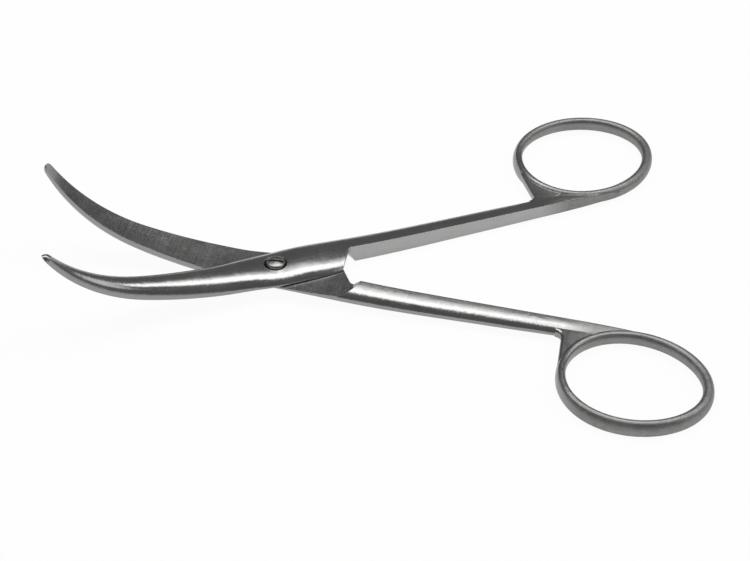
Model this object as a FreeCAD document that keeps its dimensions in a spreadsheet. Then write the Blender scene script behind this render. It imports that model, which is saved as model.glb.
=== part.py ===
import FreeCAD, Part
import math
import os
import Sketcher

V = FreeCAD.Vector

# Frame: origin on the pivot axis in the lap plane between the halves, +Z up, +X toward the finger
# rings, blades toward -X and curving up. Each half is drawn as if closed, its shank along +X, and
# is then turned open about the pivot. The upper half has its shank on the +Y side, the lower on -Y.

SIZES = [
    ("half_opening", 16.79, "half of the angle between the shanks as shown, degrees"),
    ("blade_reach", 50.3, "length of a blade along its inner face, pivot to tip"),
    ("tip_round", 1.2, "length over which the blunt tip rounds off"),
    ("flat_reach", 4.0, "radius of the flat seat around the pivot"),
    ("slow_radius", 89.4, "radius of the gentle rise beyond the seat"),
    ("slow_angle", 15.0, "slope where the gentle rise ends, degrees"),
    ("bow_radius", 29.2, "radius of the strong upward bow of the blades"),
    ("bow_over", 8.0, "turn of the bow surface beyond the tip, degrees"),
    ("face_gap", 0.04, "distance of each inner face from the sweep surface they share"),
    ("root_share", 0.3, "first station along a blade, as a share of its length"),
    ("middle_share", 0.6, "second station along a blade, as a share"),
    ("tip_share", 0.955, "third station along a blade, as a share"),
    ("back_joint", 4.55, "back of a blade from its centre line, at the pivot"),
    ("back_root", 3.95, "back, first station"),
    ("back_middle", 3.05, "back, second station"),
    ("back_tip", 1.65, "back, third station"),
    ("edge_joint", 4.95, "cutting edge from the centre line, at the pivot"),
    ("edge_root", 3.15, "cutting edge, first station"),
    ("edge_middle", 2.05, "cutting edge, second station"),
    ("edge_tip", 0.6, "cutting edge, third station"),
    ("depth_joint", 1.85, "rounded outside above the inner face, at the pivot"),
    ("depth_root", 2.75, "rounded outside, first station"),
    ("depth_middle", 2.6, "rounded outside, second station"),
    ("depth_tip", 1.35, "rounded outside, third station"),
    ("oval_power", 2.25, "fullness of the oval cross section, 2 is an ellipse"),
    ("shank_gap", 0.3, "inner face of a shank from the centre line"),
    ("shank_drop", 1.1, "how far the rings lie below the lap plane"),
    ("drop_start", 2.0, "place along X where that drop begins"),
    ("drop_length", 14.0, "length over which most of that drop builds up"),
    ("joint_end", 11.0, "end of the broad joint along X"),
    ("neck_end", 17.0, "place where the joint has narrowed to the shank"),
    ("near_place", 10.0, "first station along a shank"),
    ("mid_place", 32.0, "second station along a shank"),
    ("far_place", 52.0, "third station along a shank"),
    ("width_near", 4.35, "width of a shank, first station"),
    ("width_mid", 3.9, "width, second station"),
    ("width_far", 3.5, "width, third station"),
    ("half_near", 1.92, "half thickness of a shank, first station"),
    ("half_mid", 1.68, "half thickness, second station"),
    ("half_far", 1.45, "half thickness, third station"),
    ("merge_start", 56.0, "where a shank starts to thin into its ring"),
    ("merge_end", 73.0, "where the shank has run out in the ring bar"),
    ("merge_half", 0.6, "half thickness of the shank where it has run out"),
    ("ring_x", 71.0, "centre of a finger ring along X"),
    ("ring_room", 1.15, "nearest that the ring bar's middle comes to the centre line"),
    ("ring_long", 13.6, "long half axis of the ring bar's centre line"),
    ("ring_short", 11.9, "short half axis of the ring bar's centre line"),
    ("ring_tilt", 3.0, "turn of the ring about its centre, degrees"),
    ("ring_egg", 0.049, "narrowing of the ring toward its free end, as a share"),
    ("ring_wall", 0.97, "half thickness of the ring bar"),
    ("ring_height", 1.5, "half height of the ring bar"),
    ("ring_lean", 17.0, "lean of the bar toward the finger on the ring's outer side, degrees"),
    ("ring_rise", 0.07, "how much taller the bar is on that side, as a share"),
    ("ring_swell", 0.08, "how much thicker the bar is at the ring's free end, as a share"),
    ("web_turn", 174.0, "turn around the ring where the web's straight rim leaves it, degrees"),
    ("web_fillet", 1.3, "radius of the hollow between shank and ring"),
    ("web_height", 1.0, "half height of the web in that corner"),
    ("web_round", 0.7, "rounding of the web's rims"),
    ("web_lap", 1.5, "how far the web reaches into the shank"),
    ("web_span", 55.0, "turn of the ring bar along which the web lies, degrees"),
    ("upper_step_x", 11.4, "outer end of the upper half's step beside the joint, along X"),
    ("lower_step_x", 11.2, "outer end of the lower half's step, along X"),
    ("step_out_y", 5.6, "outer end of either step, from the centre line"),
    ("step_run", 3.6, "how much farther along X a step meets the shank's inner face"),
    ("step_fillet", 1.2, "hollow radius between the step and that face"),
    ("shoulder_radius", 9.5, "radius of the shoulder wall in plan"),
    ("shoulder_lead", 0.4, "room between the shoulder and the other half's step, along X"),
    ("upper_ramp", 25.0, "lean of the upper half's shoulder wall, degrees"),
    ("lower_ramp", 50.0, "lean of the lower half's shoulder wall, degrees"),
    ("stem_radius", 1.3, "radius of the pivot screw's stem"),
    ("stem_end", 1.78, "end of the stem below the lap plane"),
    ("stem_chamfer", 0.15, "chamfer at the end of the stem"),
    ("head_radius", 1.8, "radius of the screw head"),
    ("head_under", 0.85, "underside of the head above the lap plane"),
    ("head_wall", 1.8, "end of the head's straight wall above the lap plane"),
    ("head_round", 0.5, "rounding between that wall and the dome"),
    ("head_dome", 4.5, "radius of the domed top"),
    ("slot_width", 0.5, "width of the driver slot"),
    ("slot_floor", 1.95, "floor of the driver slot above the lap plane"),
    ("slot_turn", 6.0, "turn of the slot from the closed centre line, degrees"),
    ("seat_bevel", 0.38, "width of the bevelled rim around the head's seat"),
    ("run_clearance", 0.06, "radial clearance of screw and upper half, which turn"),
    ("seat_clearance", 0.05, "clearance under the screw head"),
    ("grip_clearance", 0.04, "radial clearance of screw and lower half, which don't"),
    ("margin", 3.0, "how far cutting tools pass beyond the metal"),
    ("tool_reach", 30.0, "half length of tools that cut right through"),
]

BLADE_STATIONS = 9
SHANK_STATIONS = (0, 0.09, 0.18, 0.29, 0.43, 0.57, 0.71, 0.86, 1)
MERGE_STATIONS = 4
TIP_STATIONS = (0, 25, 50, 70, 84)
OVAL_POINTS = 12
RING_STATIONS = 24
WEB_STATIONS = 6
WEB_SINK = 0.9
TOUCH = 1e-6
KEPT_SHARE = 0.9

# Angle of the bow's arc as a formula of the sheet: bow length over bow radius, and the run beyond the tip.
BOW_LENGTH = "(Sizes.blade_reach - Sizes.flat_reach - Sizes.slow_radius * Sizes.slow_angle * pi / 180)"
BOW_TURN = "(" + BOW_LENGTH + " / Sizes.bow_radius * 180 / pi + Sizes.bow_over) * 1 deg"

doc = FreeCAD.newDocument("Scissors")
sheet = doc.addObject("Spreadsheet::Sheet", "Sizes")
for row, (name, value, note) in enumerate(SIZES, start=1):
    sheet.set("A%d" % row, str(value))
    sheet.setAlias("A%d" % row, name)
    sheet.set("B%d" % row, note)
doc.recompute()


def size(name):
    return float(sheet.get(name))


def through(u, places, values):
    """Value at u of the smooth curve through the given stations."""
    total = 0.0
    for i, place in enumerate(places):
        term = values[i]
        for j, other in enumerate(places):
            if j != i:
                term *= (u - other) / (place - other)
        total += term
    return total


def path_point(length):
    """Distance out, height and slope of the inner face, at a length along it from the pivot."""
    flat = size("flat_reach")
    slow = size("slow_radius")
    turn = math.radians(size("slow_angle"))
    bow = size("bow_radius")
    if length <= flat:
        return length, 0.0, 0.0
    if length <= flat + slow * turn:
        slope = (length - flat) / slow
        return flat + slow * math.sin(slope), slow * (1 - math.cos(slope)), slope
    slope = turn + (length - flat - slow * turn) / bow
    out = flat + (slow - bow) * math.sin(turn) + bow * math.sin(slope)
    height = slow * (1 - math.cos(turn)) + bow * (math.cos(turn) - math.cos(slope))
    return out, height, slope


def drop_at(x):
    """Height of the shank's middle, level through the joint and falling smoothly beyond it."""
    along = max(x - size("drop_start"), 0.0) / size("drop_length")
    return -size("shank_drop") * (1 - math.exp(-along ** 2))


def closed_curve(points):
    curve = Part.BSplineCurve()
    count = len(points)
    curve.interpolate(Points=points, PeriodicFlag=True, Parameters=[k / count for k in range(count + 1)])
    return curve


def oval(side, centre, across, up, half_width, half_height):
    """Oval cross section whose seam lies in the quarter that the cuts take away."""
    power = size("oval_power")
    start = math.pi * (5 / 4 if side > 0 else 1 / 4)
    points = []
    for k in range(OVAL_POINTS):
        angle = start + 2 * math.pi * k / OVAL_POINTS
        c = math.cos(angle)
        s = math.sin(angle)
        swell = (abs(c) ** power + abs(s) ** power) ** (-1 / power)
        points.append(centre + across * (half_width * swell * c) + up * (half_height * swell * s))
    return closed_curve(points)


def blade_shape(u):
    stations = ("joint", "root", "middle", "tip")
    places = [0.0] + [size(k + "_share") * size("blade_reach") for k in stations[1:]]
    back = through(u, places, [size("back_" + k) for k in stations])
    edge = through(u, places, [size("edge_" + k) for k in stations])
    depth = through(u, places, [size("depth_" + k) for k in stations])
    return back, edge, depth


def blade_section(side, u, shrink=1.0):
    out, height, slope = path_point(u)
    back, edge, depth = blade_shape(u)
    centre = V(-out, side * (edge - back) / 2, height)
    up = V(math.sin(slope), 0, math.cos(slope))
    return oval(side, centre, V(0, 1, 0), up, (edge + back) / 2 * shrink, depth * shrink)


def shank_shape(x):
    places = [size("near_place"), size("mid_place"), size("far_place")]
    stations = ("near", "mid", "far")
    width = through(x, places, [size("width_" + k) for k in stations])
    half = through(x, places, [size("half_" + k) for k in stations])
    return width, half


def ease(x, start, end):
    """Share that rises smoothly from 0 at start to 1 at end."""
    share = min(max((x - start) / (end - start), 0.0), 1.0)
    return share * share * (3 - 2 * share)


def shank_section(side, x):
    """Section that is the blade's at the pivot, broad through the joint, then the shank's."""
    width, half = shank_shape(x)
    gap = size("shank_gap")
    merge = size("merge_start")
    back, edge, depth = blade_shape(0.0)
    back += (gap + width - back) * ease(x, 0.0, size("near_place"))
    edge += (width - gap - edge) * ease(x, size("joint_end"), size("neck_end"))
    half = depth + (half - depth) * ease(x, 0.0, size("near_place"))
    if x > merge:
        share = ((x - merge) / (size("merge_end") - merge)) ** 3
        width = min(width, ring_bar_y(x) - gap)
        back = gap + width
        edge = width - gap
        half = half * (1 - share) + size("merge_half") * share
    centre = V(x, side * (back - edge) / 2, drop_at(x))
    return oval(side, centre, V(0, 1, 0), V(0, 0, 1), (back + edge) / 2, half)


def ring_y():
    """Centre of a finger ring from the centre line."""
    return size("ring_short") + size("ring_room")


def ring_bar_y(x):
    """Centre line of the ring bar's near side, from the centre line of the scissors."""
    share = (x - size("ring_x")) / size("ring_long")
    return ring_y() - size("ring_short") * math.sqrt(max(1 - share ** 2, 0.0))


def ring_point(turn):
    """Point of the ring bar's centre line and its outward direction in plan."""
    def place(angle):
        x = size("ring_long") * math.cos(angle)
        y = size("ring_short") * math.sin(angle) * (1 - size("ring_egg") * math.cos(angle))
        tilt = math.radians(size("ring_tilt"))
        return V(size("ring_x") + x * math.cos(tilt) - y * math.sin(tilt),
                 ring_y() + x * math.sin(tilt) + y * math.cos(tilt), 0)
    heading = (place(turn + 0.001) - place(turn - 0.001)).normalize()
    return place(turn), V(heading.y, -heading.x, 0)


def skin(curves, closed):
    """Smooth surface through cross sections that share one set of knots."""
    columns = [curve.getPoles() for curve in curves]
    middles = [sum(column, V(0, 0, 0)) * (1 / len(column)) for column in columns]
    if closed:
        middles.append(middles[0])
    places = [0.0]
    for one, other in zip(middles, middles[1:]):
        places.append(places[-1] + one.distanceToPoint(other))
    places = [place / places[-1] for place in places]
    rows = []
    for k in range(len(columns[0])):
        line = Part.BSplineCurve()
        points = [column[k] for column in columns]
        if closed:
            line.interpolate(Points=points, PeriodicFlag=True, Parameters=places)
        else:
            line.interpolate(Points=points, Parameters=places)
        rows.append(line.getPoles())
    around = curves[0]
    surface = Part.BSplineSurface()
    surface.buildFromPolesMultsKnots(rows, around.getMultiplicities(), line.getMultiplicities(),
                                     around.getKnots(), line.getKnots(), True, closed,
                                     around.Degree, line.Degree)
    if closed:
        solid = Part.Solid(Part.Shell([surface.toShape()]))
    else:
        ends = [Part.Face(Part.Wire([curve.toShape()])) for curve in (curves[0], curves[-1])]
        shell = Part.Shell([surface.toShape()] + ends)
        shell.sewShape()
        solid = Part.Solid(shell)
    if solid.Volume < 0:
        solid.reverse()
    return solid


def feature(label, shape):
    item = doc.addObject("Part::Feature", label)
    item.Label = label
    item.Shape = shape
    return item


def bar_blank(side):
    """Blade, joint and shank of one half as one tapering bar, before its inner faces are cut."""
    last = size("blade_reach") - size("tip_round")
    curves = [blade_section(side, last * (1 - k / BLADE_STATIONS)) for k in range(BLADE_STATIONS)]
    merge = size("merge_start")
    places = [merge * share for share in SHANK_STATIONS]
    for k in range(1, MERGE_STATIONS + 1):
        places.append(merge + (size("merge_end") - merge) * k / MERGE_STATIONS)
    curves += [shank_section(side, x) for x in places]
    return skin(curves, False)


def tip_cap(side):
    last = size("blade_reach") - size("tip_round")
    curves = []
    for turn in TIP_STATIONS:
        angle = math.radians(turn)
        curves.append(blade_section(side, last + size("tip_round") * math.sin(angle), math.cos(angle)))
    return skin(curves, False)


def ring_wall(turn):
    return size("ring_wall") * (1 + size("ring_swell") * math.cos(turn))


def ring_bar(side):
    """Ring bar with a tall oval section, upright beside the shank and leaning on the outer side."""
    curves = []
    for k in range(RING_STATIONS):
        turn = 2 * math.pi * k / RING_STATIONS
        lean = math.radians(size("ring_lean")) * (1 + math.sin(turn)) / 2
        height = size("ring_height") * (1 + size("ring_rise") * math.sin(turn))
        place, outward = ring_point(turn)
        centre = V(place.x, side * place.y, -size("shank_drop"))
        level = V(outward.x, side * outward.y, 0)
        across = level * math.cos(lean) + V(0, 0, 1) * math.sin(lean)
        up = V(0, 0, 1) * math.cos(lean) - level * math.sin(lean)
        curves.append(oval(-1, centre, across, up, ring_wall(turn), height))
    return skin(curves, True)


def web_plate(side):
    """Plate that fills the corner between shank and ring, with a straight rim and a small hollow."""
    hollow = size("web_fillet")
    leave = math.radians(size("web_turn"))
    place, outward = ring_point(leave)
    start = place + outward * (ring_wall(leave) * WEB_SINK)
    down = V(-outward.y, outward.x, 0)
    fall = 0.0
    for _ in range(WEB_STATIONS):
        centre = start + down * fall + outward * hollow
        shank_side = size("shank_gap") + shank_shape(centre.x)[0]
        fall += (centre.y - hollow - shank_side) / -down.y
    on_rim = centre - outward * hollow
    on_shank = V(centre.x, centre.y - hollow, 0)
    bisector = ((on_rim - centre) + (on_shank - centre)).normalize()
    inside = [V(centre.x, size("shank_gap") + size("web_lap"), 0)]
    for k in range(WEB_STATIONS):
        share = 1 - k / (WEB_STATIONS - 1)
        inside.append(ring_point(leave + math.radians(size("web_span")) * share)[0])
    corners = [on_shank] + inside + [start, on_rim]
    outline = [Part.makeLine(one, other) for one, other in zip(corners, corners[1:])]
    outline.append(Part.Arc(on_rim, centre + bisector * hollow, on_shank).toShape())
    thickness = 2 * size("web_height")
    plate = Part.Face(Part.Wire(outline)).extrude(V(0, 0, thickness))
    marks = [(start + on_rim) * 0.5, centre + bisector * hollow]
    marks += [mark + V(0, 0, thickness) for mark in marks]
    touching = Part.Compound([Part.Vertex(mark) for mark in marks])
    rims = [edge for edge in plate.Edges if edge.distToShape(touching)[0] < TOUCH]
    plate = plate.makeFillet(size("web_round"), rims)
    plate.translate(V(0, 0, -size("shank_drop") - size("web_height")))
    if side < 0:
        plate = plate.mirror(V(0, 0, 0), V(0, 1, 0))
    return plate


def new_body(label):
    body = doc.addObject("PartDesign::Body", label)
    body.Label = label
    return body


def new_sketch(body, name, role):
    sketch = body.newObject("Sketcher::SketchObject", name)
    plane = [item for item in body.Origin.OriginFeatures if item.Role == role][0]
    sketch.AttachmentSupport = [(plane, "")]
    sketch.MapMode = "FlatFace"
    return sketch


def fix(sketch, name, formula, kind, *where):
    """Named constraint of a sketch, bound to the sheet."""
    index = sketch.addConstraint(Sketcher.Constraint(kind, *where))
    sketch.renameConstraint(index, name)
    sketch.setExpression("Constraints." + name, formula)


def revolve(body, sketch, angle, both_ways):
    turned = body.newObject("PartDesign::Revolution", body.Label + "_turned")
    turned.Profile = sketch
    turned.ReferenceAxis = (sketch, ["V_Axis"])
    turned.Angle = angle
    turned.Midplane = both_ways
    sketch.Visibility = False
    return turned


def sweep_tool(side, label):
    """Room beyond the sweep surface on the blade side, seat arc and bow arc turned about the pivot."""
    flat = size("flat_reach")
    slow = size("slow_radius")
    bow = size("bow_radius")
    turn = math.radians(size("slow_angle"))
    last = path_point(size("blade_reach"))[2] + math.radians(size("bow_over"))
    lift = side * size("face_gap")
    limit = -side * size("tool_reach")
    bow_centre = V(-flat - (slow - bow) * math.sin(turn), lift + slow - (slow - bow) * math.cos(turn), 0)
    bow_end = bow_centre + V(-bow * math.sin(last), -bow * math.cos(last), 0)
    outer = bow_end - V(size("margin"), 0, 0)
    body = new_body(label)
    sketch = new_sketch(body, label + "_profile", "XZ_Plane")
    down = -math.pi / 2
    slow_circle = Part.Circle(V(-flat, lift + slow, 0), V(0, 0, 1), slow)
    bow_circle = Part.Circle(bow_centre, V(0, 0, 1), bow)
    sketch.addGeometry([
        Part.LineSegment(V(0, lift, 0), V(-flat, lift, 0)),
        Part.ArcOfCircle(slow_circle, down - turn, down),
        Part.ArcOfCircle(bow_circle, down - last, down - turn),
        Part.LineSegment(bow_end, outer),
        Part.LineSegment(outer, V(outer.x, limit, 0)),
        Part.LineSegment(V(outer.x, limit, 0), V(0, limit, 0)),
        Part.LineSegment(V(0, limit, 0), V(0, lift, 0)),
    ])
    seat, slow_arc, bow_arc, ledge, far_side, floor, axis_side = range(7)
    constraints = [
        ("Tangent", seat, 2, slow_arc, 2),
        ("Tangent", slow_arc, 1, bow_arc, 2),
        ("Coincident", bow_arc, 1, ledge, 1),
        ("Coincident", ledge, 2, far_side, 1),
        ("Coincident", far_side, 2, floor, 1),
        ("Coincident", floor, 2, axis_side, 1),
        ("Coincident", axis_side, 2, seat, 1),
        ("Horizontal", seat),
        ("Horizontal", ledge),
        ("Vertical", far_side),
        ("Horizontal", floor),
        ("PointOnObject", floor, 2, -2),
        ("PointOnObject", seat, 1, -2),
    ]
    for constraint in constraints:
        sketch.addConstraint(Sketcher.Constraint(*constraint))
    above = (-1, 1, seat, 1) if side > 0 else (seat, 1, -1, 1)
    below = (floor, 2, -1, 1) if side > 0 else (-1, 1, floor, 2)
    fix(sketch, "lift", "Sizes.face_gap", "DistanceY", *above, size("face_gap"))
    fix(sketch, "reach", "Sizes.tool_reach", "DistanceY", *below, size("tool_reach"))
    fix(sketch, "flat", "Sizes.flat_reach", "DistanceX", seat, 2, seat, 1, flat)
    fix(sketch, "ledge", "Sizes.margin", "DistanceX", ledge, 2, ledge, 1, size("margin"))
    fix(sketch, "slow", "Sizes.slow_radius", "Radius", slow_arc, slow)
    fix(sketch, "bow", "Sizes.bow_radius", "Radius", bow_arc, bow)
    fix(sketch, "rise", "Sizes.slow_angle * 1 deg", "Angle", slow_arc, turn)
    fix(sketch, "sweep", BOW_TURN, "Angle", bow_arc, last - turn)
    revolve(body, sketch, 180, True)
    return body


def step_tool(label, place):
    """Room beside the inner face of a shank, ending at the step beside the joint."""
    gap = size("shank_gap")
    outer = V(size(place), -size("step_out_y"), 0)
    corner = V(size(place) + size("step_run"), gap, 0)
    wall = (corner - outer).normalize()
    along = V(1, 0, 0)
    turn = wall.getAngle(along)
    fillet = size("step_fillet")
    first = corner - wall * (fillet * math.tan(turn / 2))
    last = corner + along * (fillet * math.tan(turn / 2))
    centre = last - V(0, fillet, 0)
    away = first - centre
    floor = -size("tool_reach")
    far_x = size("ring_x") + size("ring_long") + size("margin")
    body = new_body(label)
    sketch = new_sketch(body, label + "_outline", "XY_Plane")
    circle = Part.Circle(centre, V(0, 0, 1), fillet)
    sketch.addGeometry([
        Part.LineSegment(outer, first),
        Part.ArcOfCircle(circle, math.pi / 2, math.atan2(away.y, away.x)),
        Part.LineSegment(last, V(far_x, gap, 0)),
        Part.LineSegment(V(far_x, gap, 0), V(far_x, floor, 0)),
        Part.LineSegment(V(far_x, floor, 0), V(outer.x, floor, 0)),
        Part.LineSegment(V(outer.x, floor, 0), outer),
    ])
    step, hollow, face, far_side, bottom, near_side = range(6)
    mark = sketch.addGeometry(Part.Point(corner), True)
    constraints = [
        ("Tangent", step, 2, hollow, 2),
        ("Tangent", hollow, 1, face, 1),
        ("Coincident", face, 2, far_side, 1),
        ("Coincident", far_side, 2, bottom, 1),
        ("Coincident", bottom, 2, near_side, 1),
        ("Coincident", near_side, 2, step, 1),
        ("Horizontal", face),
        ("Vertical", far_side),
        ("Horizontal", bottom),
        ("Vertical", near_side),
        ("PointOnObject", mark, 1, step),
        ("PointOnObject", mark, 1, face),
    ]
    for constraint in constraints:
        sketch.addConstraint(Sketcher.Constraint(*constraint))
    fix(sketch, "out_x", "Sizes." + place, "DistanceX", -1, 1, step, 1, outer.x)
    fix(sketch, "out_y", "Sizes.step_out_y", "DistanceY", step, 1, -1, 1, -outer.y)
    fix(sketch, "in_x", "Sizes." + place + " + Sizes.step_run", "DistanceX", -1, 1, mark, 1, corner.x)
    fix(sketch, "gap", "Sizes.shank_gap", "DistanceY", -1, 1, face, 2, gap)
    fix(sketch, "hollow", "Sizes.step_fillet", "Radius", hollow, fillet)
    fix(sketch, "far", "Sizes.ring_x + Sizes.ring_long + Sizes.margin", "DistanceX", -1, 1, face, 2, far_x)
    fix(sketch, "deep", "Sizes.tool_reach", "DistanceY", bottom, 1, -1, 1, -floor)
    pad = body.newObject("PartDesign::Pad", label + "_pad")
    pad.Profile = sketch
    pad.SideType = "Symmetric"
    pad.setExpression("Length", "Sizes.tool_reach")
    return body


def mirrored(tool):
    item = doc.addObject("Part::Mirroring", tool.Label + "_mirrored")
    item.Source = tool
    item.Normal = V(0, 1, 0)
    return item


def shoulder_centre(other_step):
    """Centre of the shoulder wall's arc, which passes outside the other half's step."""
    inner = V(size(other_step) + size("step_run") + size("shoulder_lead"), 0, 0)
    outer = V(size(other_step) + size("shoulder_lead"), size("step_out_y"), 0)
    chord = outer - inner
    across = V(-chord.y, chord.x, 0).normalize()
    inset = math.sqrt(size("shoulder_radius") ** 2 - (chord.Length / 2) ** 2)
    return (inner + outer) * 0.5 + across * inset


def lap_tool(side, label, ramp, other_step):
    """Room for the other half's flat lap, from the pivot's cross plane to the leaning shoulder wall."""
    cone = doc.addObject("Part::Cone", label + "_cone")
    cone.setExpression("Radius1", "Sizes.shoulder_radius")
    cone.setExpression("Height", "Sizes.depth_joint + Sizes.margin")
    widening = "(Sizes.depth_joint + Sizes.margin) * tan(Sizes." + ramp + " * 1 deg)"
    cone.setExpression("Radius2", "Sizes.shoulder_radius + " + widening)
    centre = shoulder_centre(other_step)
    turned = FreeCAD.Rotation(V(1, 0, 0), 180 if side > 0 else 0)
    cone.Placement = FreeCAD.Placement(V(centre.x, side * centre.y, side * size("face_gap")), turned)
    block = doc.addObject("Part::Box", label + "_block")
    block.setExpression("Length", "Sizes.tool_reach")
    block.setExpression("Width", "2 * Sizes.tool_reach")
    block.setExpression("Height", "2 * Sizes.tool_reach")
    block.setExpression("Placement.Base.y", "-Sizes.tool_reach")
    block.setExpression("Placement.Base.z", "-Sizes.tool_reach")
    tool = doc.addObject("Part::Common", label)
    tool.Base = cone
    tool.Tool = block
    return tool


def drill(label, radius, bottom):
    tool = doc.addObject("Part::Cylinder", label)
    tool.Label = label
    tool.setExpression("Radius", radius)
    tool.setExpression("Height", "2 * Sizes.tool_reach")
    tool.setExpression("Placement.Base.z", bottom)
    return tool


def bevel(label, radius, bottom):
    """Cone that opens upward at 45 degrees."""
    tool = doc.addObject("Part::Cone", label)
    tool.Label = label
    tool.setExpression("Radius1", radius)
    tool.setExpression("Radius2", radius + " + Sizes.margin")
    tool.setExpression("Height", "Sizes.margin")
    tool.setExpression("Placement.Base.z", bottom)
    return tool


def cut(label, base, tool):
    item = doc.addObject("Part::Cut", label)
    item.Label = label
    item.Base = base
    item.Tool = tool
    return item


def join(label, pieces):
    item = doc.addObject("Part::MultiFuse", label)
    item.Label = label
    item.Shapes = pieces
    item.Refine = True
    return item


def half(side, name, other, drills):
    """One forged half: bar, tip, ring and web, with its inner faces and holes cut."""
    node = name + "_half"
    bar = join(node + "_bar", [feature(node + "_blank", bar_blank(side)), feature(node + "_tip", tip_cap(side))])
    work = join(node + "_ringed", [bar, feature(node + "_ring", ring_bar(side))])
    step = step_tool(node + "_step_tool", name + "_step_x")
    if side < 0:
        step = mirrored(step)
    work = cut(node + "_stepped", work, step)
    work = cut(node + "_lapped", work, lap_tool(side, node + "_lap_tool", name + "_ramp", other + "_step_x"))
    work = cut(node + "_swept", work, sweep_tool(side, node + "_sweep_tool"))
    for number, tool in enumerate(drills):
        work = cut(node + "_bored_%d" % number, work, tool)
    whole = join(node, [work, feature(node + "_web", web_plate(side))])
    whole.Placement = FreeCAD.Placement(V(0, 0, 0), V(0, 0, 1), side * size("half_opening"))
    return whole


def screw():
    """Pivot screw: chamfered stem, domed head with a rounded rim, straight slot."""
    stem = size("stem_radius")
    end = size("stem_end")
    chamfer = size("stem_chamfer")
    head = size("head_radius")
    under = size("head_under")
    wall = size("head_wall")
    rounding = size("head_round")
    dome = size("head_dome")
    run = head - rounding
    dome_centre = V(0, wall - math.sqrt((dome - rounding) ** 2 - run ** 2), 0)
    reach = math.acos(run / (dome - rounding))
    body = new_body("screw_blank")
    sketch = new_sketch(body, "screw_profile", "XZ_Plane")
    corners = [V(0, -end, 0), V(stem - chamfer, -end, 0), V(stem, chamfer - end, 0), V(stem, under, 0),
               V(head, under, 0), V(head, wall, 0)]
    for one, other in zip(corners, corners[1:]):
        sketch.addGeometry(Part.LineSegment(one, other))
    sketch.addGeometry(Part.ArcOfCircle(Part.Circle(V(run, wall, 0), V(0, 0, 1), rounding), 0, reach))
    sketch.addGeometry(Part.ArcOfCircle(Part.Circle(dome_centre, V(0, 0, 1), dome), reach, math.pi / 2))
    sketch.addGeometry(Part.LineSegment(dome_centre + V(0, dome, 0), corners[0]))
    foot, slant, side_line, ledge, rim, shoulder, crown, axis = range(8)
    constraints = [
        ("Coincident", foot, 2, slant, 1),
        ("Coincident", slant, 2, side_line, 1),
        ("Coincident", side_line, 2, ledge, 1),
        ("Coincident", ledge, 2, rim, 1),
        ("Tangent", rim, 2, shoulder, 1),
        ("Tangent", shoulder, 2, crown, 1),
        ("Coincident", crown, 2, axis, 1),
        ("Coincident", axis, 2, foot, 1),
        ("PointOnObject", foot, 1, -2),
        ("PointOnObject", crown, 2, -2),
        ("PointOnObject", crown, 3, -2),
        ("Horizontal", foot),
        ("Horizontal", ledge),
        ("Vertical", side_line),
        ("Vertical", rim),
    ]
    for constraint in constraints:
        sketch.addConstraint(Sketcher.Constraint(*constraint))
    fix(sketch, "stem", "Sizes.stem_radius", "DistanceX", -1, 1, side_line, 1, stem)
    fix(sketch, "foot", "Sizes.stem_radius - Sizes.stem_chamfer", "DistanceX", foot, 1, foot, 2, stem - chamfer)
    fix(sketch, "chamfer", "Sizes.stem_chamfer", "DistanceY", slant, 1, slant, 2, chamfer)
    fix(sketch, "end", "Sizes.stem_end", "DistanceY", foot, 1, -1, 1, end)
    fix(sketch, "head", "Sizes.head_radius", "DistanceX", -1, 1, rim, 1, head)
    fix(sketch, "under", "Sizes.head_under", "DistanceY", -1, 1, rim, 1, under)
    fix(sketch, "wall", "Sizes.head_wall", "DistanceY", -1, 1, rim, 2, wall)
    fix(sketch, "rounding", "Sizes.head_round", "Radius", shoulder, rounding)
    fix(sketch, "dome", "Sizes.head_dome", "Radius", crown, dome)
    revolve(body, sketch, 360, False)
    slot = doc.addObject("Part::Box", "screw_slot")
    slot.setExpression("Length", "2 * Sizes.tool_reach")
    slot.setExpression("Width", "Sizes.slot_width")
    slot.setExpression("Height", "Sizes.tool_reach")
    turned = FreeCAD.Rotation(V(0, 0, 1), size("slot_turn"))
    corner = turned.multVec(V(-size("tool_reach"), -size("slot_width") / 2, size("slot_floor")))
    slot.Placement = FreeCAD.Placement(corner, turned)
    whole = cut("pivot_screw", body, slot)
    whole.Placement = FreeCAD.Placement(V(0, 0, 0), V(0, 0, 1), -size("half_opening"))
    return whole


upper_drills = [
    drill("upper_stem_hole", "Sizes.stem_radius + Sizes.run_clearance", "-Sizes.tool_reach"),
    drill("upper_head_seat", "Sizes.head_radius + Sizes.run_clearance", "Sizes.head_under - Sizes.seat_clearance"),
    bevel("upper_seat_rim", "Sizes.head_radius + Sizes.run_clearance", "Sizes.depth_joint - Sizes.seat_bevel"),
]
lower_drills = [drill("lower_stem_hole", "Sizes.stem_radius + Sizes.grip_clearance", "-Sizes.tool_reach")]
nodes = {
    "upper_half": half(1, "upper", "lower", upper_drills),
    "lower_half": half(-1, "lower", "upper", lower_drills),
    "pivot_screw": screw(),
}
doc.recompute()

for item in doc.Objects:
    if "Invalid" in item.State or "Error" in item.State:
        raise RuntimeError(item.Label + " failed")
    if hasattr(item, "Shape") and not item.isDerivedFrom("App::OriginFeature"):
        if item.Shape.isNull() or not item.Shape.isValid():
            raise RuntimeError(item.Label + " has no valid shape")

for item in doc.Objects:
    if item.isDerivedFrom("Part::MultiFuse"):
        pieces = sum(piece.Shape.Volume for piece in item.Shapes)
        if item.Shape.Volume < KEPT_SHARE * pieces:
            raise RuntimeError(item.Label + " lost metal")

os.makedirs("parts", exist_ok=True)
for node, item in nodes.items():
    solids = item.Shape.Solids
    if len(solids) != 1:
        raise RuntimeError(node + " isn't one solid")
    solids[0].exportStep("parts/" + node + ".step")
    print(node, round(solids[0].Volume, 1), "mm3")
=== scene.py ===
import bpy
import math
from mathutils import Matrix, Vector


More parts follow.
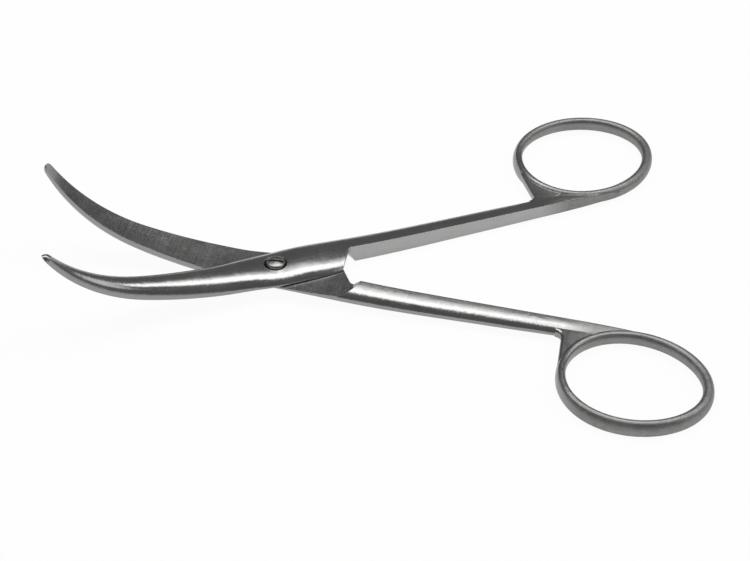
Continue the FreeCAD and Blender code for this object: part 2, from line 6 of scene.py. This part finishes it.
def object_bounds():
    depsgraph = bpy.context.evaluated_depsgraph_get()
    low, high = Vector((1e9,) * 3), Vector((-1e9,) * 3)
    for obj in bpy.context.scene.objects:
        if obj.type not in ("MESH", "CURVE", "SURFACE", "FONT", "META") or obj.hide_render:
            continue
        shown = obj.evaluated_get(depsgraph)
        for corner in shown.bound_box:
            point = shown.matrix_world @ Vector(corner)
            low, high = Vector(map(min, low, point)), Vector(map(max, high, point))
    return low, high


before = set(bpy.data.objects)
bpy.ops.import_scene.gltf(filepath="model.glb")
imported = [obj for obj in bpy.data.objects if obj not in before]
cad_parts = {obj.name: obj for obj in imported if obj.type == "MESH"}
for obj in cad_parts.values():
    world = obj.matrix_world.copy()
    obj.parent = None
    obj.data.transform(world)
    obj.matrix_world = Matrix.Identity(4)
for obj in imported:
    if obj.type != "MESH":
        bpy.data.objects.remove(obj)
cad_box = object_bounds()

MM = 0.001

# Camera, fitted to the photograph: it looks down on the lap plane from the lower half's side.
TARGET = Vector((18.90, -2.63, -1.10)) * MM
DISTANCE = 430.1 * MM
AZIMUTH = math.radians(-5.46)
ELEVATION = math.radians(41.22)
ROLL = math.radians(1.87)
FOCAL_PIXELS = 2246.85
IMAGE_WIDTH = 750
SENSOR_WIDTH = 36.0
CLIP_START = 0.01
CLIP_END = 20

# Sizes of the scissors that tell the ground inner faces from the polished outside.
HALF_OPENING = math.radians(16.79)
FLAT_REACH = 4.0 * MM
SLOW_RADIUS = 89.4 * MM
SLOW_ANGLE = math.radians(15.0)
BOW_RADIUS = 29.2 * MM
BOW_SHARE = 0.999
SHANK_GAP = 0.3 * MM
NEAR_FACE = 0.12 * MM
LAP_FACING = 0.3
SHANK_FACING = 0.99

# Material slots of each half, and the finish of each. Depths are in relief units.
RELIEF_UNIT = 1 * MM
SATIN_SLOT, GROUND_SLOT, FLAT_SLOT = range(3)
FINISHES = {
    "satin": dict(tone=(0.31, 0.31, 0.307), roughness=0.22, contrast=0.07,
                  line_depth=0.0025, grain_depth=0.001),
    "ground": dict(tone=(0.27, 0.27, 0.267), roughness=0.25, contrast=0.18,
                   line_depth=0.003, grain_depth=0.003, across=True),
    "flat": dict(tone=(0.385, 0.385, 0.381), roughness=0.26, contrast=0.06,
                 line_depth=0.002, grain_depth=0.001),
}
EDGE_SOFTNESS = 0.06 * MM

# The finger rings are duller and darker than the polished bars.
RING_BEGINS = (56 * MM, 62 * MM)
RING_TONE = (0.27, 0.27, 0.266)
RING_CONTRAST = 0.22
RING_DULLER = 0.25
RING_SOFTNESS = 0.35 * MM

# Marks in the steel: polishing lines, grain, broad clouds, small patches and slanting hairlines.
LINE_SIZE = 0.3 * MM
LINE_STRETCH = 0.03
GRAIN_SIZE = 0.2 * MM
CLOUD_SIZE = 6 * MM
PATCH_SIZE = 0.9 * MM
HAIR_SIZE = 0.35 * MM
HAIR_STRETCH = 0.05
HAIR_SLANT = 0.12
HAIR_RANGE = (0.66, 0.74)
HAIR_DULLER = 0.04
CLOUD_DULLER = 0.03
MARK_DULLER = 0.02
MOTTLE_SHARES = dict(cloud=0.3, lines=0.3, grain=0.15, patches=0.25)
MOTTLE_RANGE = (0.38, 0.62)

# Screw: rings left by turning, about the pivot axis.
SCREW_TONE = (0.26, 0.26, 0.257)
SCREW_CONTRAST = 0.1
SCREW_ROUGHNESS = (0.24, 0.32)
SCREW_SOFTNESS = 0.2 * MM
TURNED_SIZE = 0.09 * MM
TURNED_DEPTH = 0.003
TURNED_DULLER = (-0.02, 0.03)

# Span in which most values of a noise lie, weight of its finer octaves, and samples for each softened edge.
NOISE_LOW = 0.3
NOISE_HIGH = 0.7
NOISE_ROUGHNESS = 0.6
EDGE_SAMPLES = 8

# Floor and room
FLOOR_SIZE = 6
FLOOR_GAP = 0.02 * MM
FLOOR_SHADES = ((0.93, 0.93, 0.93, 1), (0.97, 0.97, 0.97, 1))
FIBRE_SIZE = 1.5 * MM
WHITE_TO_CAMERA = 0.95
WHITE_IN_MIRRORS = 0.75
ROOM_GREY = (0.2, 0.2, 0.2, 1)


# Node helpers

class Nodes:
    """Small wrapper that adds nodes to one material and links them."""

    def __init__(self, name):
        self.material = bpy.data.materials.new(name)
        self.material.use_nodes = True
        self.tree = self.material.node_tree
        self.shader = self.tree.nodes["Principled BSDF"]
        self.output = self.tree.nodes["Material Output"]

    def add(self, kind, **settings):
        node = self.tree.nodes.new(kind)
        for name, value in settings.items():
            setattr(node, name, value)
        return node

    def put(self, value, socket):
        """Links a socket, or sets a plain number or colour."""
        if hasattr(value, "is_output"):
            self.tree.links.new(value, socket)
        else:
            socket.default_value = value

    def place(self):
        """Place on the object, in its own coordinates."""
        return self.add("ShaderNodeTexCoord").outputs["Object"]

    def split(self, vector):
        """The three parts of a vector."""
        node = self.add("ShaderNodeSeparateXYZ")
        self.put(vector, node.inputs["Vector"])
        return node.outputs["X"], node.outputs["Y"], node.outputs["Z"]

    def mapped(self, vector, scale=(1, 1, 1), turn=0.0):
        node = self.add("ShaderNodeMapping")
        node.inputs["Scale"].default_value = scale
        node.inputs["Rotation"].default_value = (0, 0, turn)
        self.put(vector, node.inputs["Vector"])
        return node.outputs["Vector"]

    def noise(self, vector, size, detail=2.0):
        """Noise with features of about the given size in metres."""
        node = self.add("ShaderNodeTexNoise")
        self.put(vector, node.inputs["Vector"])
        node.inputs["Scale"].default_value = 1 / size
        node.inputs["Detail"].default_value = detail
        node.inputs["Roughness"].default_value = NOISE_ROUGHNESS
        return node.outputs["Fac"]

    def math(self, operation, one, other=0.0):
        node = self.add("ShaderNodeMath", operation=operation)
        self.put(one, node.inputs[0])
        self.put(other, node.inputs[1])
        return node.outputs[0]

    def times(self, value, factor):
        return self.math("MULTIPLY", value, factor)

    def total(self, first, *others):
        for other in others:
            first = self.math("ADD", first, other)
        return first

    def spread(self, value, low, high, to_low, to_high):
        """Value moved from one range to another, held within it."""
        node = self.add("ShaderNodeMapRange", clamp=True)
        self.put(value, node.inputs["Value"])
        limits = {"From Min": low, "From Max": high, "To Min": to_low, "To Max": to_high}
        for socket, number in limits.items():
            self.put(number, node.inputs[socket])
        return node.outputs["Result"]

    def swing(self, noise, low, high):
        """Value that runs from low to high with a noise."""
        return self.spread(noise, NOISE_LOW, NOISE_HIGH, low, high)

    def blend(self, share, one, other):
        """Mix of two colours. In a colour mix they are inputs 6 and 7, and output 2."""
        node = self.add("ShaderNodeMix", data_type="RGBA")
        self.put(share, node.inputs["Factor"])
        self.put(one, node.inputs[6])
        self.put(other, node.inputs[7])
        return node.outputs[2]

    def mottled(self, share, tone, contrast):
        """A tone that runs from darker to lighter with the share."""
        return self.blend(share, shade(tone, 1 - contrast), shade(tone, 1 + contrast))

    def metal(self, colour, roughness, height, softness):
        """Bare metal with a fine relief, and edges that look softened."""
        self.put(colour, self.shader.inputs["Base Color"])
        self.put(roughness, self.shader.inputs["Roughness"])
        self.shader.inputs["Metallic"].default_value = 1
        rounded = self.add("ShaderNodeBevel", samples=EDGE_SAMPLES)
        self.put(softness, rounded.inputs["Radius"])
        bump = self.add("ShaderNodeBump")
        bump.inputs["Distance"].default_value = RELIEF_UNIT
        self.put(height, bump.inputs["Height"])
        self.put(rounded.outputs["Normal"], bump.inputs["Normal"])
        self.put(bump.outputs["Normal"], self.shader.inputs["Normal"])
        return self.material


def shade(tone, factor):
    return tuple(part * factor for part in tone) + (1,)


# Materials

def steel(name, turn, tone, roughness, contrast, line_depth, grain_depth, across=False):
    """Steel with drawn polishing lines, fine grain and faint hairlines, duller at the finger ring."""
    n = Nodes(name)
    own = n.mapped(n.place(), turn=turn)
    ring = n.spread(n.split(own)[0], *RING_BEGINS, 0, 1)

    along = (1, LINE_STRETCH, 1) if across else (LINE_STRETCH, 1, 1)
    lines = n.noise(n.mapped(own, scale=along), LINE_SIZE, 3)
    grain = n.noise(own, GRAIN_SIZE)
    cloud = n.noise(own, CLOUD_SIZE, 4)
    patches = n.noise(own, PATCH_SIZE, 3)
    slanted = n.mapped(own, scale=(HAIR_STRETCH, 1, 1), turn=HAIR_SLANT)
    hairs = n.spread(n.noise(slanted, HAIR_SIZE, 0), *HAIR_RANGE, 0, 1)

    dull = n.total(n.swing(cloud, roughness - CLOUD_DULLER, roughness + CLOUD_DULLER),
                   n.swing(patches, -MARK_DULLER, MARK_DULLER),
                   n.swing(lines, -MARK_DULLER, MARK_DULLER),
                   n.times(hairs, HAIR_DULLER),
                   n.times(ring, RING_DULLER))
    mottle = n.total(n.times(cloud, MOTTLE_SHARES["cloud"]),
                     n.times(lines, MOTTLE_SHARES["lines"]),
                     n.times(grain, MOTTLE_SHARES["grain"]),
                     n.times(patches, MOTTLE_SHARES["patches"]))
    mottle = n.spread(mottle, *MOTTLE_RANGE, 0, 1)
    colour = n.blend(ring, n.mottled(mottle, tone, contrast), n.mottled(mottle, RING_TONE, RING_CONTRAST))
    height = n.total(n.times(lines, line_depth), n.times(grain, grain_depth))
    softness = n.spread(ring, 0, 1, EDGE_SOFTNESS, RING_SOFTNESS)
    return n.metal(colour, dull, height, softness)


def screw_steel():
    """Turned and polished steel: fine rings about the pivot axis."""
    n = Nodes("turned_steel")
    place = n.place()
    x, y, z = n.split(place)
    radius = n.math("SQRT", n.total(n.math("POWER", x, 2), n.math("POWER", y, 2)))
    joined = n.add("ShaderNodeCombineXYZ")
    n.put(radius, joined.inputs["X"])
    n.put(z, joined.inputs["Z"])
    turned = n.noise(joined.outputs["Vector"], TURNED_SIZE)
    cloud = n.noise(place, PATCH_SIZE, 3)
    colour = n.mottled(n.swing(cloud, 0, 1), SCREW_TONE, SCREW_CONTRAST)
    dull = n.total(n.swing(cloud, *SCREW_ROUGHNESS), n.swing(turned, *TURNED_DULLER))
    return n.metal(colour, dull, n.times(turned, TURNED_DEPTH), SCREW_SOFTNESS)


def white_paper():
    """White paper that shows as plain white to the camera and in the metal, and keeps its shadows."""
    n = Nodes("white_paper")
    fibre = n.noise(n.place(), FIBRE_SIZE, 3)
    n.put(n.blend(fibre, *FLOOR_SHADES), n.shader.inputs["Base Color"])
    n.shader.inputs["Roughness"].default_value = 1
    n.shader.inputs["Specular IOR Level"].default_value = 0
    path = n.add("ShaderNodeLightPath")
    mirrored = n.math("MAXIMUM", path.outputs["Is Glossy Ray"], path.outputs["Is Transmission Ray"])
    seen = n.math("MAXIMUM",
                  n.times(path.outputs["Is Camera Ray"], WHITE_TO_CAMERA),
                  n.times(mirrored, WHITE_IN_MIRRORS))
    white = n.add("ShaderNodeEmission")
    white.inputs["Strength"].default_value = 1
    both = n.add("ShaderNodeMixShader")
    n.put(seen, both.inputs[0])
    n.put(n.shader.outputs[0], both.inputs[1])
    n.put(white.outputs[0], both.inputs[2])
    n.put(both.outputs[0], n.output.inputs["Surface"])
    return n.material


# Scissors

def sweep_height(reach):
    """Height of the surface that both inner blade faces follow, at a distance from the pivot axis."""
    slow_end = FLAT_REACH + SLOW_RADIUS * math.sin(SLOW_ANGLE)
    if reach <= FLAT_REACH:
        return 0.0
    if reach <= slow_end:
        return SLOW_RADIUS - math.sqrt(SLOW_RADIUS ** 2 - (reach - FLAT_REACH) ** 2)
    middle_x = slow_end - BOW_RADIUS * math.sin(SLOW_ANGLE)
    middle_z = SLOW_RADIUS * (1 - math.cos(SLOW_ANGLE)) + BOW_RADIUS * math.cos(SLOW_ANGLE)
    over = min(reach - middle_x, BOW_RADIUS * BOW_SHARE)
    return middle_z - math.sqrt(BOW_RADIUS ** 2 - over ** 2)


def mark_faces(mesh, side):
    """Gives the lap with the inner blade face, and the flat shank face, their own material slots."""
    to_closed = Matrix.Rotation(-side * HALF_OPENING, 3, "Z")
    for face in mesh.polygons:
        place = to_closed @ face.center
        normal = to_closed @ face.normal
        reach = math.hypot(place.x, place.y) if place.x < 0 else 0.0
        on_lap = abs(place.z - sweep_height(reach)) < NEAR_FACE and normal.z * -side > LAP_FACING
        on_shank = abs(place.y * side - SHANK_GAP) < NEAR_FACE and normal.y * -side > SHANK_FACING
        if on_lap:
            face.material_index = GROUND_SLOT
        elif on_shank:
            face.material_index = FLAT_SLOT
        else:
            face.material_index = SATIN_SLOT


def finish_half(name, side):
    """The upper half has side 1 and the lower half side -1."""
    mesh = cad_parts[name].data
    mesh.materials.clear()
    for finish, values in FINISHES.items():
        mesh.materials.append(steel(name + "_" + finish, -side * HALF_OPENING, **values))
    mark_faces(mesh, side)


def finish_screw():
    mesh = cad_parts["pivot_screw"].data
    mesh.materials.clear()
    mesh.materials.append(screw_steel())


# Studio

def make_camera():
    back = Vector((math.sin(AZIMUTH) * math.cos(ELEVATION),
                   -math.cos(AZIMUTH) * math.cos(ELEVATION),
                   math.sin(ELEVATION)))
    level = Vector((math.cos(AZIMUTH), math.sin(AZIMUTH), 0))
    rise = back.cross(level)
    right = math.cos(ROLL) * level + math.sin(ROLL) * rise
    up = -math.sin(ROLL) * level + math.cos(ROLL) * rise
    data = bpy.data.cameras.new("camera")
    data.sensor_fit = "HORIZONTAL"
    data.sensor_width = SENSOR_WIDTH
    data.lens = FOCAL_PIXELS / IMAGE_WIDTH * SENSOR_WIDTH
    data.clip_start = CLIP_START
    data.clip_end = CLIP_END
    camera = bpy.data.objects.new("camera", data)
    place = TARGET + back * DISTANCE
    turn = Matrix((right, up, back)).transposed()
    camera.matrix_world = Matrix.Translation(place) @ turn.to_4x4()
    bpy.context.scene.collection.objects.link(camera)
    bpy.context.scene.camera = camera


def make_floor():
    lowest = cad_box[0].z
    bpy.ops.mesh.primitive_plane_add(size=FLOOR_SIZE, location=(0, 0, lowest - FLOOR_GAP))
    floor = bpy.context.object
    floor.name = "floor"
    floor.data.materials.append(white_paper())


def make_room():
    room = bpy.data.worlds.new("room")
    room.use_nodes = True
    room.node_tree.nodes["Background"].inputs["Color"].default_value = ROOM_GREY
    bpy.context.scene.world = room
    bpy.context.scene.view_settings.view_transform = "Standard"


def area_light(name, place, wide, tall, radiance):
    """Rectangular lamp turned towards the pivot."""
    data = bpy.data.lights.new(name, "AREA")
    data.shape = "RECTANGLE"
    data.size = wide
    data.size_y = tall
    data.energy = radiance * math.pi * wide * tall
    light = bpy.data.objects.new(name, data)
    light.location = place
    light.rotation_euler = (-Vector(place)).to_track_quat("-Z", "Y").to_euler()
    bpy.context.scene.collection.objects.link(light)


make_camera()
make_floor()
make_room()

area_light("softbox", place=(0, 0.163, 0.793), wide=1.3, tall=0.35, radiance=3.4)
area_light("rear_box", place=(0.14, 0.39, 0.73), wide=0.36, tall=0.17, radiance=1.9)
area_light("back_panel", place=(0.72, 0.46, 0.04), wide=0.4, tall=0.1, radiance=0.8)
area_light("side_panel", place=(0.75, -0.03, 0.50), wide=0.8, tall=0.34, radiance=1.4)

finish_half("upper_half", 1)
finish_half("lower_half", -1)
finish_screw()
